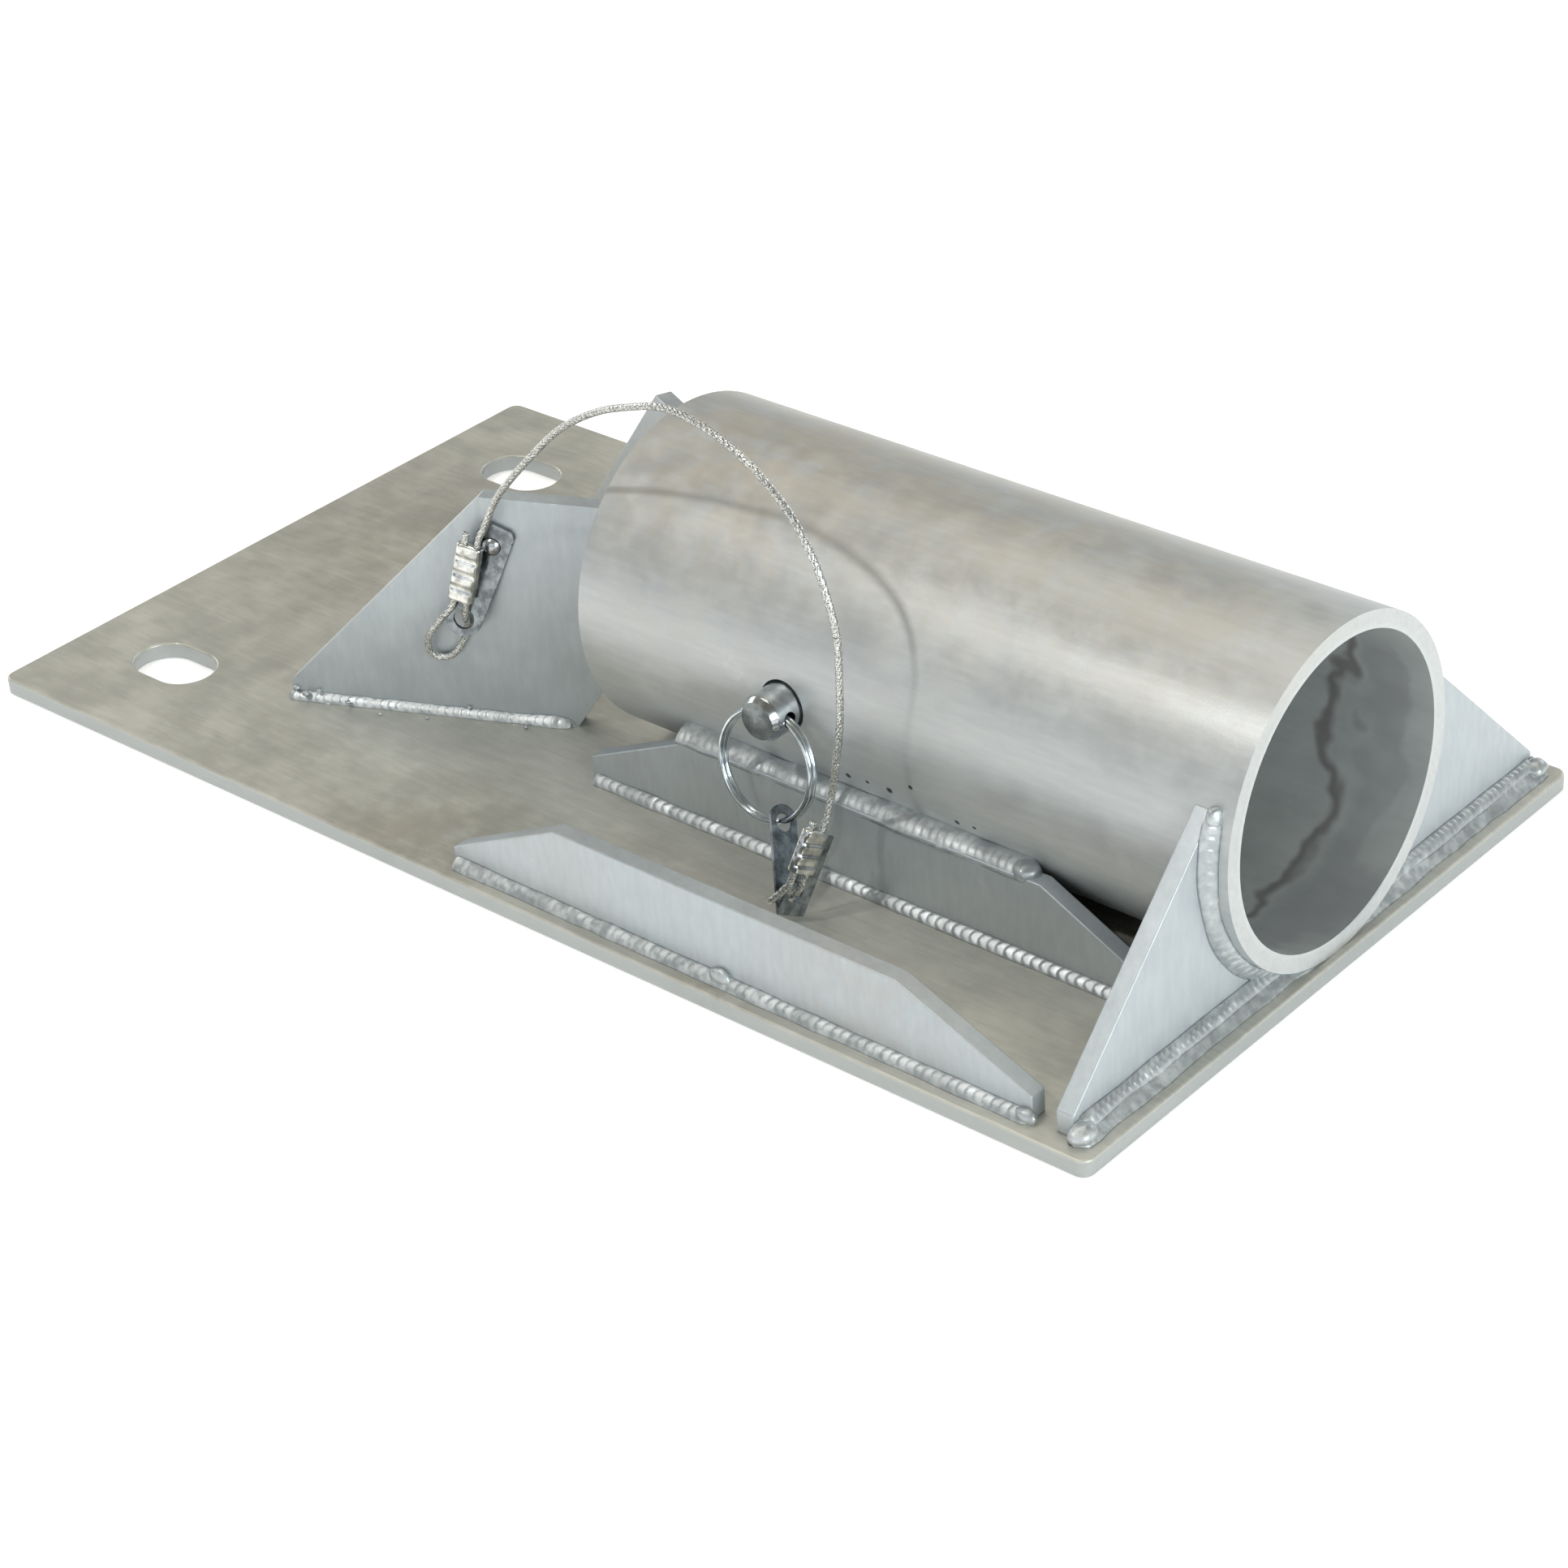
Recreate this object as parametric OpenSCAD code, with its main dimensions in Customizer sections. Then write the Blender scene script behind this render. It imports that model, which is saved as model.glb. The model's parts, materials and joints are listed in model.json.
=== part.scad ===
// Stanchion base: a welded aluminium socket on a flat base plate, with a
// detent pin across the socket and a wire-rope lanyard to keep the pin.
// Millimetres. The origin is the centre of the plate's underside, +X runs
// towards the socket's mouth and +Z is up. "near" is the -Y side, where the
// pin's ring hangs, and "far" is the +Y side.

/* [Base plate] */
// Length along X
plate_length = 480; // [400:1:560]
// Width along Y
plate_width = 260; // [220:1:320]
// Thickness of all the plate stock (1/4 inch)
stock = 6.35; // [4.76:0.01:9.53]
// Radius of the plate's corners
corner_radius = 4; // [1:0.5:12]

/* [Anchor slots] */
// Distance of the slots from the centre of the plate
slot_x = 196; // [180:1:210]
// Half the distance between the two slots
slot_y = 88; // [60:1:100]
// Width of a slot
slot_width = 22; // [14:0.5:26]
// Overall length of a slot
slot_length = 33; // [24:0.5:40]

/* [Socket] */
// Outside diameter (4 inch schedule 40 pipe)
tube_od = 114.3; // [100:0.1:120]
// Bore
tube_id = 102.26; // [90:0.01:108]
// Rear end of the tube
tube_rear = -20.5; // [-40:0.5:0]
// Mouth of the tube
tube_mouth = 237.5; // [230:0.5:260]
// Height of the tube's axis above the underside
tube_height = 63.5; // [60:0.01:70]
// Distance of the pin's axis from the centre of the plate
pin_x = 67; // [40:1:100]
// Cross hole for the pin
pin_hole = 17.5; // [16:0.1:20]

/* [Detent pin] */
// Pin diameter (5/8 inch)
pin_d = 15.9; // [12:0.1:16]
// Near end of the pin
pin_near = -69; // [-75:0.5:-66]
// Far end of the pin
pin_far = 72; // [66:0.5:80]
// Hole across the pin for the split ring
ring_hole = 5.2; // [5:0.1:6]

/* [Split ring] */
// Mean diameter of the ring
ring_mean_d = 37; // [34:0.5:42]
// Wire diameter of the ring
ring_wire = 2; // [1.5:0.1:2]
// Outward lean of the hanging ring
ring_lean = 11; // [0:0.5:12]

/* [Lanyard] */
// Diameter of the wire rope (3/32 inch)
rope_d = 2.4; // [1.5:0.1:2.4]
// Width of the steel tabs
tab_width = 12.7; // [10:0.1:13]
// Bore of a ferrule's two barrels
barrel_bore = 3; // [2.6:0.1:3.2]

/* [Hidden] */
$fn = 72;
axis_z = tube_height;
front_x = 230;
front_half = 122.5;
rib_y = 122.5;
saddle_y = 58.5;
saddle_top = 35.8;
gusset_x = -143.6;
gusset_y = 79.3;
gusset_turn = 23.9;
rivet_at = [81.5, 74];
ring_radius = ring_mean_d / 2;
ring_drop = 17.6;
ring_hole_y = -62.5;
tab_hole_at = [75.2, -69.3, 29.4];
tab_turn = [-40.6, 25.6, 70.1];
fold_angle = 42;
fold_depth = 29.5;
barrel_gap = 2.2;
// The ring ferrule's middle, in the frame of the tab's second leaf.
sleeve_at = [-4.5, -3.1, 23.5];
eps = 0.01;

aluminium = [0.72, 0.73, 0.72];
aluminium_dark = [0.66, 0.67, 0.68];
bead = [0.82, 0.83, 0.84];
steel = [0.62, 0.65, 0.68];
rope = [0.55, 0.56, 0.56];

// Every sub-part by the name it is exported under.

// ---------------------------------------------------------------- helpers

// A cylinder along X between two positions.
module rod_x(d, from, to) {
  translate([from, 0, 0]) rotate([0, 90, 0]) cylinder(d = d, h = to - from);
}

// A cylinder along Y between two positions.
module rod_y(d, from, to) {
  translate([0, from, 0]) rotate([-90, 0, 0]) cylinder(d = d, h = to - from);
}

// A profile drawn in X and Z, as a plate from y = from to y = to.
module plate_xz(points, from, to) {
  translate([0, to, 0]) rotate([90, 0, 0])
    linear_extrude(height = to - from) polygon(points);
}

// A profile drawn in Y and Z, run along X.
module bar_x(points, from, to) {
  translate([from, 0, 0]) rotate([90, 0, 90])
    linear_extrude(height = to - from) polygon(points);
}

// The outside of the socket, longer than the tube by a margin at each end.
module tube_space(d) {
  translate([0, 0, axis_z]) rod_x(d, tube_rear - 20, tube_mouth + 20);
}

// Moves a piece from a rear gusset's own frame: X along its foot, -Y out of
// its visible face, Z up.
module on_gusset() {
  translate([gusset_x, -gusset_y, 0]) rotate([0, 0, gusset_turn]) children();
}

// The mirror image on the far side.
module far_side() {
  mirror([0, 1, 0]) children();
}

// A round-cornered weld bead section of a given leg, in the corner at [0, 0].
function fillet(leg) = [
  [0, 0], [leg, 0], [leg * 0.94, leg * 0.3], [leg * 0.68, leg * 0.68],
  [leg * 0.3, leg * 0.94], [0, leg]
];

function shifted(points, y, z) = [for (p = points) [p[0] + y, p[1] + z]];
function flipped(points, y, z) = [for (p = points) [y - p[0], p[1] + z]];

// ------------------------------------------------------------ base plate

module base_plate() {
  r = corner_radius;
  color(aluminium) difference() {
    union() {
      translate([-plate_length / 2 + r, -plate_width / 2, 0])
        cube([plate_length - 2 * r, plate_width, stock]);
      translate([-plate_length / 2, -plate_width / 2 + r, 0])
        cube([plate_length, plate_width - 2 * r, stock]);
      for (x = [-1, 1], y = [-1, 1])
        translate([x * (plate_length / 2 - r), y * (plate_width / 2 - r), 0])
          cylinder(r = r, h = stock);
    }
    for (y = [-slot_y, slot_y]) slot_cut(y);
  }
}

module slot_cut(y) {
  run = slot_length - slot_width;
  translate([-slot_x - run / 2, y - slot_width / 2, -1])
    cube([run, slot_width, stock + 2]);
  for (x = [-run / 2, run / 2])
    translate([-slot_x + x, y, -1]) cylinder(d = slot_width, h = stock + 2);
}

// ---------------------------------------------------------------- socket

module socket_tube() {
  color(aluminium_dark) translate([0, 0, axis_z]) difference() {
    rod_x(tube_od, tube_rear, tube_mouth);
    rod_x(tube_id, tube_rear - 1, tube_mouth + 1);
    translate([pin_x, 0, 0]) rod_y(pin_hole, -tube_od, tube_od);
  }
}

// Closes the rear of the socket, so the mast has a stop to stand on.
module stop_disc() {
  color(aluminium_dark) translate([0, 0, axis_z])
    rod_x(tube_id - 0.06, tube_rear, tube_rear + stock);
}

// Half of the triangular face plate that braces the socket's mouth. The
// tube rests on the base plate, so it parts the face plate in two.
module front_gusset_near() {
  shoulder = 14;
  top = 82.7;
  color(aluminium) difference() {
    bar_x([
      [-front_half, stock], [-12, stock], [-12, 20], [-40, top - 0.1],
      [-front_half - shoulder + top, top], [-front_half, shoulder]
    ], front_x - stock, front_x);
    tube_space(tube_od);
  }
}

module front_gusset_far() {
  far_side() front_gusset_near();
}

// ------------------------------------------------- ribs, saddles, gussets

rib_profile = [
  [-21, stock], [215, stock], [215, 14.7], [165, 35.5], [26, 35.5], [-21, 12.5]
];

module side_rib_near() {
  color(aluminium) plate_xz(rib_profile, -rib_y, -rib_y + stock);
}

module side_rib_far() {
  far_side() side_rib_near();
}

saddle_profile = [
  [-20, stock], [215, stock], [215, 13], [200.6, 20],
  [169, saddle_top], [25, saddle_top], [-20, 14.9]
];

module saddle_gusset_near() {
  color(aluminium_dark)
    plate_xz(saddle_profile, -saddle_y, -saddle_y + stock);
}

module saddle_gusset_far() {
  far_side() saddle_gusset_near();
}

// One plate of the V behind the socket. Its end lands on the stop disc.
module rear_gusset() {
  color(aluminium_dark) difference() {
    on_gusset() plate_xz([
      [0, stock], [105.5, stock], [120, 28], [150, 28], [150, 91.4],
      [78, 91.4], [0, 12.8]
    ], 0, stock);
    translate([tube_rear, -200, 0]) cube([100, 400, 200]);
  }
}

// The near one is drilled for the tab's rivet.
module rear_gusset_near() {
  color(aluminium_dark) difference() {
    rear_gusset();
    on_gusset() translate([rivet_at[0], 0, rivet_at[1]])
      rod_y(4.04, -1, stock + 1);
  }
}

module rear_gusset_far() {
  far_side() rear_gusset();
}

// ----------------------------------------------------------------- welds

// Along the foot of a front gusset and up to the socket, with a thicker
// start at the corner.
module weld_front_base_near() {
  leg = 6.5;
  color(bead) difference() {
    union() {
      translate([front_x, -4, stock]) rotate([90, 0, 0])
        linear_extrude(height = front_half - 4) polygon(fillet(leg));
      translate([front_x + 0.5, -front_half, stock + 1]) sphere(r = 4.5);
    }
    translate([front_x - 30, -200, -1]) cube([30, 400, 100]);
    translate([front_x - 30, -200, -1]) cube([100, 400, stock + 1]);
    translate([0, 0, axis_z]) rod_x(tube_od + 0.04, front_x - 5, front_x + 20);
  }
}

module weld_front_base_far() {
  far_side() weld_front_base_near();
}

// Around the socket on the front of a front gusset.
module weld_front_tube_near() {
  leg = 5.5;
  r = tube_od / 2;
  color(bead) difference() {
    translate([front_x, 0, axis_z]) rotate([0, 90, 0]) rotate_extrude()
      polygon([
        [r, 0], [r + leg, 0], [r + leg * 0.7, leg * 0.66],
        [r + leg * 0.3, leg * 0.95], [r, leg]
      ]);
    translate([front_x - 1, -200, 82]) cube([20, 400, 100]);
    translate([front_x - 1, -200, -20]) cube([20, 400, 20 + stock]);
    translate([front_x - 1, -12, -20]) cube([20, 200, 200]);
    translate([front_x - 1, -136.5, 0]) rotate([45, 0, 0])
      cube([20, 200, 200]);
    translate([front_x, 150, stock]) rotate([90, 0, 0])
      linear_extrude(height = 300) polygon(fillet(6.5));
  }
}

module weld_front_tube_far() {
  far_side() weld_front_tube_near();
}

// Outside foot of a side rib, with the lump where the bead was restarted.
module weld_rib_near() {
  leg = 3.6;
  color(bead) difference() {
    union() {
      bar_x(flipped(fillet(leg), -rib_y, stock), -21, 215);
      translate([95, -rib_y - 0.5, stock + 1]) sphere(r = 3.9);
      translate([214, -rib_y - 0.5, stock + 0.5]) sphere(r = 3.6);
    }
    translate([-100, -rib_y, 0]) cube([400, 50, 100]);
    translate([-100, -200, -10]) cube([400, 200, 10 + stock]);
  }
}

module weld_rib_far() {
  far_side() weld_rib_near();
}

// Outside foot of a saddle gusset.
module weld_saddle_foot_near() {
  color(bead) bar_x(flipped(fillet(3.3), -saddle_y, stock), -20, 215);
}

module weld_saddle_foot_far() {
  far_side() weld_saddle_foot_near();
}

// The heavy bead that joins a saddle gusset to the underside of the socket.
module weld_saddle_top_near() {
  color(bead) difference() {
    union() {
      bar_x([
        [-59, 34.4], [-59.1, 36], [-57.4, 38.2], [-54.6, 39.4], [-51, 39.2],
        [-48, 36], [-48, 33], [-52.15, 33]
      ], 22, 160);
      for (x = [22, 160]) translate([x, -54.8, 35.6]) sphere(r = 4.2);
    }
    tube_space(tube_od);
    translate([-50, -saddle_y, 0]) cube([300, stock, saddle_top]);
    translate([-50, -saddle_y + stock, 0]) cube([300, 20, 33.6]);
  }
}

module weld_saddle_top_far() {
  far_side() weld_saddle_top_near();
}

// Foot of a rear gusset, on its outer face.
module weld_gusset_foot_near() {
  color(bead) on_gusset() union() {
    bar_x(flipped(fillet(3), 0, stock), 0, 105);
    for (x = [0, 6]) intersection() {
      translate([x + 1, -1, stock + 0.4]) sphere(r = 3);
      translate([-5, -10, stock]) cube([40, 10, 10]);
    }
  }
}

module weld_gusset_foot_far() {
  far_side() weld_gusset_foot_near();
}

// Where a rear gusset's end meets the stop disc.
module weld_gusset_end_near() {
  leg = 4;
  color(bead) difference() {
    translate([tube_rear, -25.4, 29]) linear_extrude(height = 61)
      polygon([[0, 3], [0, -leg], [-leg, -leg], [-8, 3]]);
    on_gusset() cube([200, 40, 120]);
    on_gusset() translate([100, -20, 0]) cube([24, 60, 120]);
  }
}

module weld_gusset_end_far() {
  far_side() weld_gusset_end_near();
}

// ------------------------------------------------------------ detent pin

module detent_pin() {
  chamfer = 2.5;
  color(steel) translate([pin_x, 0, axis_z]) difference() {
    union() {
      rod_y(pin_d, pin_near + chamfer, pin_far - chamfer);
      translate([0, pin_near + chamfer, 0]) rotate([90, 0, 0])
        cylinder(d1 = pin_d, d2 = pin_d - 3, h = chamfer);
      translate([0, pin_far - chamfer, 0]) rotate([-90, 0, 0])
        cylinder(d1 = pin_d, d2 = pin_d - 2 * chamfer, h = chamfer);
    }
    translate([0, ring_hole_y, 0]) rod_x(ring_hole, -20, 20);
    translate([0, 62, 0]) cylinder(d = 4.6, h = 20);
  }
}

// Stands 0.7 mm proud of the pin, so that it clears the cross hole.
module detent_ball() {
  color(steel) translate([pin_x, 62, axis_z + pin_d / 2 - 1.3]) sphere(d = 4);
}

// ------------------------------------------------------------ split ring

// Two turns of wire side by side, passed through the pin's near end.
module split_ring() {
  color(steel)
    translate([pin_x, ring_hole_y, axis_z]) rotate([-ring_lean, 0, 0])
      translate([0, 0, -ring_drop]) rotate([90, 0, 0]) rotate_extrude()
        for (y = [-0.95, 0.95])
          translate([ring_radius, y]) circle(d = ring_wire, $fn = 24);
}

// ------------------------------------------------------ tabs and ferrules

// The ring tab's own frame: origin at its ring hole, Z up the first leaf
// and -Y towards the second leaf.
module on_ring_tab() {
  translate(tab_hole_at) rotate(tab_turn) children();
}

// A strip folded back on itself, with the ring through its first leaf.
module ring_tab() {
  half = 5;
  color(steel) on_ring_tab() difference() {
    bar_x([
      [0.5, 8], [0.5, -29.6], [0.1, -30.1], [-0.4, -29.9],
      [-19.1, -9.1], [-18.4, -8.4], [-0.5, -28.2], [-0.5, 8]
    ], -half, half);
    difference() {
      translate([-10, -2, 1]) cube([20, 4, 20]);
      translate([0, 0, 0.8]) rod_y(2 * half + 0.4, -3, 3);
    }
    rod_y(6, -3, 3);
    translate([-1, 0, -23.6]) rod_y(6.2, -2, 2);
    translate([-1.4, 0, -24]) rod_y(5.4, -9, -2);
  }
}

// A double-barrel sleeve, crimped at its middle. Z runs along the barrels.
module ferrule(length) {
  color(steel) difference() {
    union() {
      for (x = [-barrel_gap, barrel_gap])
        translate([x, 0, -length / 2]) cylinder(d = 4.8, h = length);
      translate([-barrel_gap, -2.1, -length / 2])
        cube([2 * barrel_gap, 4.2, length]);
    }
    for (x = [-barrel_gap, barrel_gap])
      translate([x, 0, -length]) cylinder(d = barrel_bore, h = 2 * length);
    for (y = [-1, 1]) translate([0, y * 3.4, 0])
      cube([20, 2.2, length * 0.12], center = true);
  }
}

module ring_ferrule() {
  on_ring_tab() translate([0, 0, -fold_depth]) rotate([fold_angle, 0, 0])
    translate([sleeve_at[0], sleeve_at[1], sleeve_at[2]]) ferrule(15);
}

// The riveted tab's own frame: origin on the gusset's face at the rivet,
// Z up the strip and -Y out of the face.
module on_fixed_tab() {
  on_gusset() translate([rivet_at[0], 0, rivet_at[1]])
    rotate([0, 23.4, 0]) children();
}

// Cranked away from the gusset below the rivet, to let the rope behind it.
module fixed_tab() {
  half = tab_width / 2;
  gauge = 1.2;
  bend = 10;
  color(steel) on_fixed_tab() difference() {
    intersection() {
      union() {
        translate([-half, -0.3 - gauge, -8]) cube([2 * half, gauge, 16.5]);
        translate([0, -0.3 - gauge, -8]) rotate([180 - bend, 0, 0])
          translate([-half, -gauge, 0]) cube([2 * half, gauge, 28]);
        translate([0, -0.3 - gauge, -8])
          intersection() {
            rod_x(2 * gauge, -half, half);
            translate([-half, 0, -0.4]) cube([2 * half, gauge, 0.8]);
          }
      }
      union() {
        translate([-half, -20, -29]) cube([2 * half, 40, 33]);
        translate([0, 0, -29]) rod_y(2 * half, -20, 20);
        translate([-half + 2, -20, 0]) cube([2 * half - 4, 40, 8.5]);
        for (x = [-1, 1]) translate([x * (half - 3), 0, 5.5])
          rod_y(6, -20, 20);
      }
    }
    rod_y(4.6, -4, 1);
    translate([0, 0, -29]) rod_y(7.2, -20, 20);
  }
}

module fixed_ferrule() {
  on_gusset() translate([73.3, -6.4, 66.2]) rotate([0, 15.6, 0])
    ferrule(22);
}

// A blind rivet through the gusset: shank, head and set tail.
module rivet() {
  color(steel) on_fixed_tab() {
    rod_y(4, -1.8, stock);
    intersection() {
      translate([0, 0.6, 0]) sphere(d = 8);
      translate([0, -3.4, 0]) rod_y(7, 0, 1.6);
    }
    translate([0, stock, 0]) rod_y(6, 0, 1.6);
  }
}

// --------------------------------------------------------------- lanyard

// Turns a point of the gusset's frame into the row's frame. The third
// number is the distance out of the gusset's face.
function gusset_point(s, z, out) = [
  gusset_x + s * cos(gusset_turn) + out * sin(gusset_turn),
  -gusset_y + s * sin(gusset_turn) - out * cos(gusset_turn),
  z
];

// The three turns of rotate(), for one point.
function turn_x(p, a) = [
  p[0], p[1] * cos(a) - p[2] * sin(a), p[1] * sin(a) + p[2] * cos(a)
];
function turn_y(p, a) = [
  p[0] * cos(a) + p[2] * sin(a), p[1], -p[0] * sin(a) + p[2] * cos(a)
];
function turn_z(p, a) = [
  p[0] * cos(a) - p[1] * sin(a), p[0] * sin(a) + p[1] * cos(a), p[2]
];
function tab_point(p) = tab_hole_at + turn_z(
  turn_y(turn_x(p, tab_turn[0]), tab_turn[1]), tab_turn[2]
);

// A point in the ring ferrule's frame, z along its barrels.
function barrel_point(x, y, z) = tab_point(
  [0, 0, -fold_depth] + turn_x(sleeve_at + [x, y, z], fold_angle)
);

// A point in the fixed ferrule's frame, z along its barrels.
function fixed_barrel_point(x, z) = gusset_point(
  73.3 + x * cos(15.6) + z * sin(15.6),
  66.2 - x * sin(15.6) + z * cos(15.6),
  6.4
);

// A smooth curve through the middle of a list of points, cut into n steps
// between each pair. The first and last points only steer its ends.
function smooth(p, n) = [
  for (i = [1 : len(p) - 3], k = [0 : n - 1])
    let (t = k / n)
      0.5 * (2 * p[i] + (p[i + 1] - p[i - 1]) * t
        + (2 * p[i - 1] - 5 * p[i] + 4 * p[i + 1] - p[i + 2]) * t * t
        + (3 * p[i] - p[i - 1] - 3 * p[i + 1] + p[i + 2]) * t * t * t)
];

fixed_stub = fixed_barrel_point(-barrel_gap, 15);
fixed_in = fixed_barrel_point(-barrel_gap, 12);
fixed_out = fixed_barrel_point(-barrel_gap, -12);
fixed_back = fixed_barrel_point(barrel_gap, -12);
fixed_top = fixed_barrel_point(barrel_gap, 12);

// The eye that passes through the riveted tab's lower hole.
fixed_eye = smooth([
  fixed_in, fixed_out, gusset_point(62, 47, 6.5), gusset_point(56, 38.5, 4.6),
  gusset_point(55.5, 31, 2.4), gusset_point(61.5, 30, 1.7),
  gusset_point(67, 36, 1.5), gusset_point(69.6, 43.2, 1.6),
  gusset_point(70.5, 47.4, 4.6), fixed_back, fixed_top
], 2);

main_run = smooth([
  fixed_back, fixed_top, [-66, -52, 84], [-57, -52, 99], [-37, -54, 120],
  [-19, -57, 136], [0, -60, 148], [18, -63, 156], [34, -65, 161],
  [51, -68, 162], [66, -70, 159], [79, -72, 154], [90, -73, 146],
  [99, -74, 135], [105, -75, 123], [108, -75, 110], [108, -75, 95],
  [107, -75, 79], [103.5, -74, 64], [99.5, -72.2, 51],
  barrel_point(barrel_gap, 0, 11.5), barrel_point(barrel_gap, 0, 8),
  barrel_point(barrel_gap, 0, -8)
], 2);

// The eye that passes through the folded tab's first leaf.
ring_eye = smooth([
  barrel_point(barrel_gap, 0, 8), barrel_point(barrel_gap, 0, -10.5),
  tab_point([-1.8, -7.8, -24]), tab_point([-1.3, -4.4, -24.2]),
  tab_point([-1.2, 0, -23.8]), tab_point([-3.2, 2.7, -24.2]),
  tab_point([-6.4, 2.2, -25.2]), tab_point([-7.9, -1, -26]),
  tab_point([-7.6, -5, -25.2]), tab_point([-7, -8.6, -23.6]),
  barrel_point(-barrel_gap, 0, -10.5), barrel_point(-barrel_gap, 0, 8)
], 2);

rope_path = concat(
  [fixed_stub, fixed_in], fixed_eye, [fixed_back], main_run, ring_eye,
  [
    barrel_point(-barrel_gap, 0, -8), barrel_point(-barrel_gap, 0, 8),
    barrel_point(-barrel_gap, 0, 10)
  ]
);

function unit(v) = v / norm(v);

// Directions along the rope, and a sideways direction carried along it.
function along(p) = [
  for (i = [0 : len(p) - 1])
    unit(p[min(i + 1, len(p) - 1)] - p[max(i - 1, 0)])
];
function sideways(t, i, last) =
  let (now = unit(last - (last * t[i]) * t[i]))
    i == len(t) - 1 ? [now] : concat([now], sideways(t, i + 1, now));

module lanyard_cable() {
  sides = 8;
  p = rope_path;
  t = along(p);
  u = sideways(t, 0, [0, 1, 0]);
  rings = len(p);
  points = [
    for (i = [0 : rings - 1], k = [0 : sides - 1])
      let (a = 360 * k / sides, v = cross(t[i], u[i]))
        p[i] + rope_d / 2 * (cos(a) * u[i] + sin(a) * v)
  ];
  skin = [
    for (i = [0 : rings - 2], k = [0 : sides - 1])
      let (
        a = i * sides + k,
        b = i * sides + (k + 1) % sides
      )
        each [[a, b + sides, b], [a, a + sides, b + sides]]
  ];
  start = [for (k = [0 : sides - 1]) k];
  finish = [for (k = [0 : sides - 1]) rings * sides - 1 - k];
  color(rope) polyhedron(points, concat([start], skin, [finish]));
}

// ------------------------------------------------------------- the parts

base_plate();
socket_tube();
stop_disc();
front_gusset_near();
front_gusset_far();
side_rib_near();
side_rib_far();
saddle_gusset_near();
saddle_gusset_far();
rear_gusset_near();
rear_gusset_far();
weld_front_base_near();
weld_front_base_far();
weld_front_tube_near();
weld_front_tube_far();
weld_rib_near();
weld_rib_far();
weld_saddle_foot_near();
weld_saddle_foot_far();
weld_saddle_top_near();
weld_saddle_top_far();
weld_gusset_foot_near();
weld_gusset_foot_far();
weld_gusset_end_near();
weld_gusset_end_far();
rivet();
detent_pin();
detent_ball();
split_ring();
ring_tab();
ring_ferrule();
fixed_tab();
fixed_ferrule();
lanyard_cable();
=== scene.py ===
"""The looks of a welded aluminium stanchion base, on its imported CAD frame.

The frame is the part's own: +X towards the socket's mouth, -Y the near side
where the pin's ring hangs, +Z up. Shapes are worked out in millimetres, and MM
turns them into the scene's metres. The camera and the lights are in metres.
"""

import json
import math

import bmesh
import bpy
import numpy as np
from mathutils import Matrix, Vector

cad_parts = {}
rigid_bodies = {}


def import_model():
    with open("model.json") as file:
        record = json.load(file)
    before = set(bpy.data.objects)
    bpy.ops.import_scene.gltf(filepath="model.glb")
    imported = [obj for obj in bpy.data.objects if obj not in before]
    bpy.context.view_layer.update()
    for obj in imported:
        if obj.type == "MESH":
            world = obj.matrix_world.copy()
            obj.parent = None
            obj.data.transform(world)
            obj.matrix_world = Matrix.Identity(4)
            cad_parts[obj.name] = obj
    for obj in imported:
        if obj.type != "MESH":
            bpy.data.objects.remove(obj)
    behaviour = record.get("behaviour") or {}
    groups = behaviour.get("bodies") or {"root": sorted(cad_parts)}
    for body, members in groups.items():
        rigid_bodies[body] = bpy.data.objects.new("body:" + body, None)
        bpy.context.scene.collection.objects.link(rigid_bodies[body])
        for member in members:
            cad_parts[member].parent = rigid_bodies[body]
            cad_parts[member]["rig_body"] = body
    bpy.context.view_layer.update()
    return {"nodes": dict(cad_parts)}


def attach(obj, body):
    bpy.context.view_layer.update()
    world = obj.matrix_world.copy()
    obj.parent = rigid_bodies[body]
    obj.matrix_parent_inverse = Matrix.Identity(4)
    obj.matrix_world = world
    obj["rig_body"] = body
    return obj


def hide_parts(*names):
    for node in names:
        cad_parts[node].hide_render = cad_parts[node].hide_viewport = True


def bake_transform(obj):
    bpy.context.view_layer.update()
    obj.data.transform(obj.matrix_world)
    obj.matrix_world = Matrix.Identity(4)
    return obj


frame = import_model()
scene = bpy.context.scene
NODES = frame["nodes"]
MM = 0.001
RANDOM = np.random.default_rng(11)

# Sizes that part.scad gives, in millimetres.
STOCK = 6.35
AXIS_Z = 63.5
TUBE_R = 57.15
FRONT_X = 230.0
FRONT_HALF = 122.5
RIB_Y = 122.5
SADDLE_Y = 58.5
GUSSET = (-143.6, -79.3)
GUSSET_TURN = math.radians(23.9)
TAB_HOLE = (75.2, -69.3, 29.4)
TAB_TURN = (-40.6, 25.6, 70.1)
FOLD_ANGLE = 42.0
FOLD_DEPTH = 29.5
BARREL_GAP = 2.2
SLEEVE = (-4.5, -3.1, 23.5)
ROPE_D = 2.4
RING_SLEEVE_LENGTH = 15
FIXED_SLEEVE_LENGTH = 22
ROPE_LAY = 15.0
RING_LEAN = math.radians(11)


# ------------------------------------------------------------------ camera


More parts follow.
